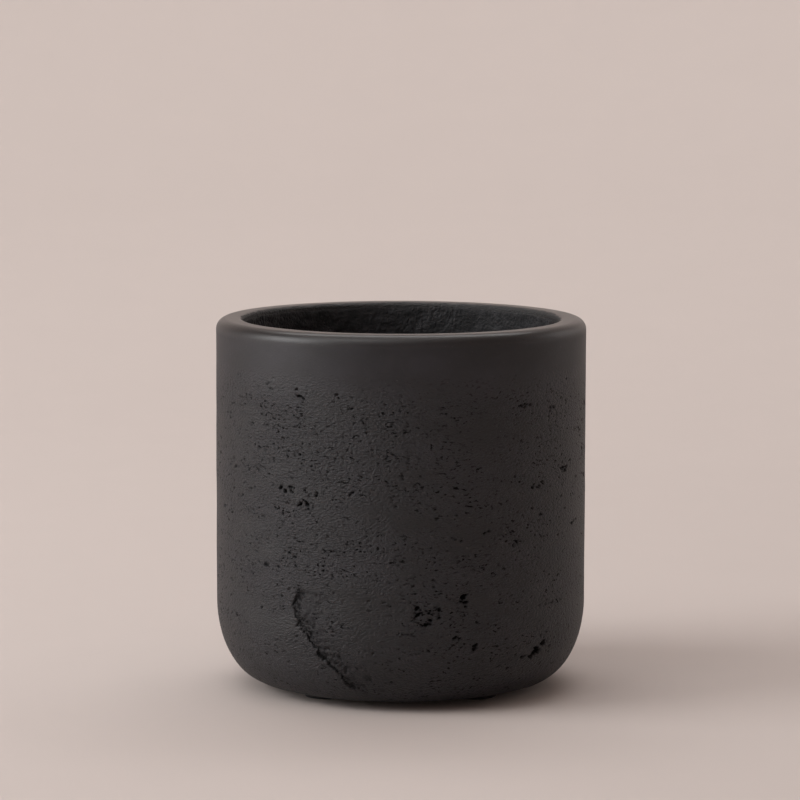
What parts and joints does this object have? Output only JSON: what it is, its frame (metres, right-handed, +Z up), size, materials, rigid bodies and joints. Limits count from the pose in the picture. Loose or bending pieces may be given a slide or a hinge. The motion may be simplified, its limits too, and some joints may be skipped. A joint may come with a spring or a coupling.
{
  "type": "candle jar",
  "caption": "Open, round cast concrete jar with a broadly rounded base edge and a flat rim with soft edges, sealed inside to hold poured candle wax.",
  "frame": {"origin": "on the jar's axis, at the level of the undersides of the pads that it stands on", "axes": "+Z up along the jar's axis, out of its mouth; X and Y lie across the base, each midway between two pads"},
  "size_m": [0.095, 0.095, 0.095],
  "materials": {
    "concrete": "matte",
    "sealer": "satin",
    "pad_foam": "matte",
    "pad_adhesive": "satin"
  },
  "bodies": {
    "root": {"jar_body": "concrete", "sealer_lining": "sealer", "foam_pad_1": "pad_foam", "foam_pad_2": "pad_foam", "foam_pad_3": "pad_foam", "foam_pad_4": "pad_foam", "pad_adhesive_1": "pad_adhesive", "pad_adhesive_2": "pad_adhesive", "pad_adhesive_3": "pad_adhesive", "pad_adhesive_4": "pad_adhesive"}
  },
  "joints": []
}
